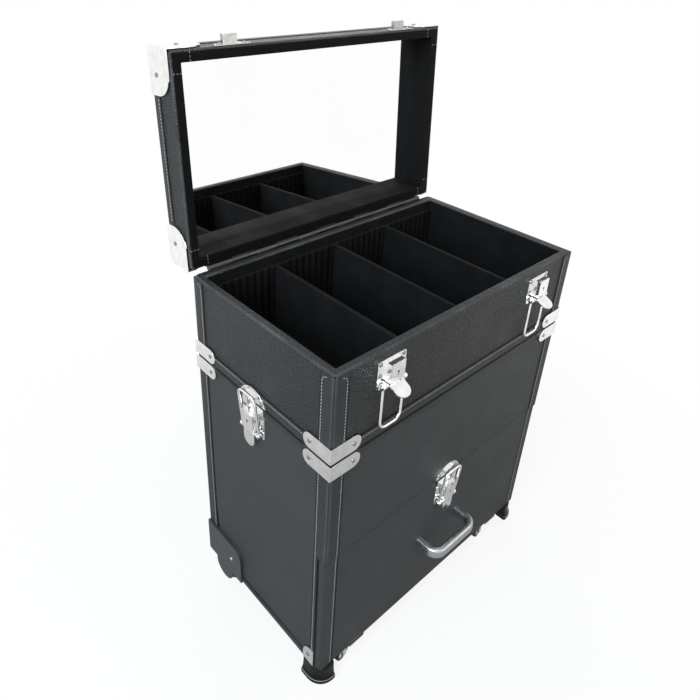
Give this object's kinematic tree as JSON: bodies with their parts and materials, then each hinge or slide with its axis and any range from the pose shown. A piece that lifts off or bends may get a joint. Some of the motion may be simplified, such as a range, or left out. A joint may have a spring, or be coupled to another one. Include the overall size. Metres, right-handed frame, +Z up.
{
  "type": "rolling makeup case",
  "caption": "Charcoal leatherette makeup case on wheels: lift-off tray with mirrored lid and dividers over a deep lower case with a drawer, chrome corners and draw latches.",
  "frame": {"origin": "floor under the middle of the whole object, from the drawer pull to the open lid's back", "axes": "+X to the right seen from the front, +Y to the back, +Z up"},
  "size_m": [0.381, 0.2888, 0.6372],
  "materials": {
    "leather": "grained charcoal leatherette with sewn edges",
    "lining": "short black flock",
    "chrome": "bright plated sheet and wire",
    "mirror": "silvered flat glass",
    "steel": "drawn satin tube",
    "aluminium": "ridged extrusion, satin",
    "plastic": "moulded black, glossy",
    "rubber": "black rubber tread"
  },
  "bodies": {
    "lower_case": {"lower_side_panels": "leather", "lower_back_panel": "leather", "lower_bottom_panel": "leather", "lower_shelf": "lining", "lower_front_panel": "leather", "lower_trim": "leather", "lower_brackets": "chrome", "lower_rivets": "chrome", "front_feet": "plastic", "wheel_housings": "plastic", "wheel_axles": "chrome", "side_latch_bases": "chrome", "drawer_catch": "chrome", "drawer_rails": "steel", "handle_channel": "plastic", "handle_outer_tubes": "steel", "caster_plates": "chrome"},
    "upper_case": {"upper_walls": "leather", "tray_floor": "lining", "tray_dividers": "lining", "slot_strips": "lining", "upper_trim": "leather", "upper_brackets": "chrome", "upper_rivets": "chrome", "side_catches": "chrome", "front_latch_bases": "chrome", "hinge_lower_leaf": "chrome", "hinge_pin": "chrome"},
    "lid": {"lid_panel": "leather", "lid_walls": "leather", "lid_trim": "leather", "lid_caps": "chrome", "lid_rivets": "chrome", "lid_catches": "chrome", "mirror": "mirror", "mirror_backing": "lining", "hinge_upper_leaf": "chrome"},
    "drawer": {"drawer_front": "leather", "drawer_box": "lining", "drawer_pull": "aluminium", "drawer_latch_base": "chrome"},
    "front_left_lever": {"front_left_lever": "chrome"},
    "front_right_lever": {"front_right_lever": "chrome"},
    "side_left_lever": {"side_left_lever": "chrome"},
    "side_right_lever": {"side_right_lever": "chrome"},
    "drawer_lever": {"drawer_lever": "chrome"},
    "front_left_bail": {"front_left_bail": "chrome"},
    "front_right_bail": {"front_right_bail": "chrome"},
    "side_left_bail": {"side_left_bail": "chrome"},
    "side_right_bail": {"side_right_bail": "chrome"},
    "drawer_bail": {"drawer_bail": "chrome"},
    "left_wheel": {"left_wheel": "rubber"},
    "right_wheel": {"right_wheel": "rubber"},
    "left_caster": {"left_caster_fork": "chrome"},
    "right_caster": {"right_caster_fork": "chrome"},
    "left_caster_wheel": {"left_caster_wheel": "rubber"},
    "right_caster_wheel": {"right_caster_wheel": "rubber"},
    "pull_handle": {"handle_rods": "steel", "handle_grip": "plastic"},
    "handle_button": {"handle_button": "plastic"}
  },
  "joints": [
    {"name": "case_lift", "type": "slide", "parent": "lower_case", "child": "upper_case", "axis": [0, 0, 1], "range_m": [0, 0.12]},
    {"name": "lid_hinge", "type": "hinge", "parent": "upper_case", "child": "lid", "pos_m": [0, 0.09699, 0.4169], "axis": [1, 0, 0], "range_deg": [0, 93]},
    {"name": "drawer_slide", "type": "slide", "parent": "lower_case", "child": "drawer", "axis": [0, -1, 0], "range_m": [0, 0.12]},
    {"name": "front_left_lever_turn", "type": "hinge", "parent": "upper_case", "child": "front_left_lever", "pos_m": [-0.114, -0.11891, 0.3826], "axis": [-1, 0, 0], "range_deg": [-65, 30]},
    {"name": "front_left_bail_turn", "type": "hinge", "parent": "upper_case", "child": "front_left_bail", "pos_m": [-0.114, -0.11891, 0.3826], "axis": [-1, 0, 0], "range_deg": [0, 180]},
    {"name": "front_right_lever_turn", "type": "hinge", "parent": "upper_case", "child": "front_right_lever", "pos_m": [0.114, -0.11891, 0.3826], "axis": [-1, 0, 0], "range_deg": [-65, 30]},
    {"name": "front_right_bail_turn", "type": "hinge", "parent": "upper_case", "child": "front_right_bail", "pos_m": [0.114, -0.11891, 0.3826], "axis": [-1, 0, 0], "range_deg": [0, 180]},
    {"name": "side_left_lever_turn", "type": "hinge", "parent": "lower_case", "child": "side_left_lever", "pos_m": [-0.1845, -0.00541, 0.29], "axis": [0, 1, 0], "range_deg": [0, 95]},
    {"name": "side_left_bail_turn", "type": "hinge", "parent": "lower_case", "child": "side_left_bail", "pos_m": [-0.1845, -0.00541, 0.29], "axis": [0, -1, 0], "range_deg": [-5.5, 160]},
    {"name": "side_right_lever_turn", "type": "hinge", "parent": "lower_case", "child": "side_right_lever", "pos_m": [0.1845, -0.00541, 0.29], "axis": [0, -1, 0], "range_deg": [0, 95]},
    {"name": "side_right_bail_turn", "type": "hinge", "parent": "lower_case", "child": "side_right_bail", "pos_m": [0.1845, -0.00541, 0.29], "axis": [0, 1, 0], "range_deg": [-5.5, 160]},
    {"name": "drawer_lever_turn", "type": "hinge", "parent": "drawer", "child": "drawer_lever", "pos_m": [0, -0.11891, 0.162], "axis": [-1, 0, 0], "range_deg": [0, 95]},
    {"name": "drawer_bail_turn", "type": "hinge", "parent": "drawer", "child": "drawer_bail", "pos_m": [0, -0.11891, 0.162], "axis": [1, 0, 0], "range_deg": [-5.5, 160]},
    {"name": "left_wheel_roll", "type": "hinge", "parent": "lower_case", "child": "left_wheel", "pos_m": [-0.1688, 0.06109, 0.02], "axis": [1, 0, 0], "continuous": true},
    {"name": "left_caster_swivel", "type": "hinge", "parent": "lower_case", "child": "left_caster", "pos_m": [-0.126, -0.10241, 0.0226], "axis": [0, 0, 1], "continuous": true},
    {"name": "left_caster_roll", "type": "hinge", "parent": "left_caster", "child": "left_caster_wheel", "pos_m": [-0.14077, -0.10501, 0.0105], "axis": [0.1736, -0.9848, 0], "continuous": true},
    {"name": "right_wheel_roll", "type": "hinge", "parent": "lower_case", "child": "right_wheel", "pos_m": [0.1688, 0.06109, 0.02], "axis": [1, 0, 0], "continuous": true},
    {"name": "right_caster_swivel", "type": "hinge", "parent": "lower_case", "child": "right_caster", "pos_m": [0.126, -0.10241, 0.0226], "axis": [0, 0, 1], "continuous": true},
    {"name": "right_caster_roll", "type": "hinge", "parent": "right_caster", "child": "right_caster_wheel", "pos_m": [0.11123, -0.10501, 0.0105], "axis": [0.1736, -0.9848, 0], "continuous": true},
    {"name": "handle_slide", "type": "slide", "parent": "lower_case", "child": "pull_handle", "axis": [0, 0, 1], "range_m": [0, 0.12]},
    {"name": "button_press", "type": "slide", "parent": "pull_handle", "child": "handle_button", "axis": [0, 0, -1], "range_m": [0, 0.0022], "stiffness_N_per_m": 300}
  ]
}
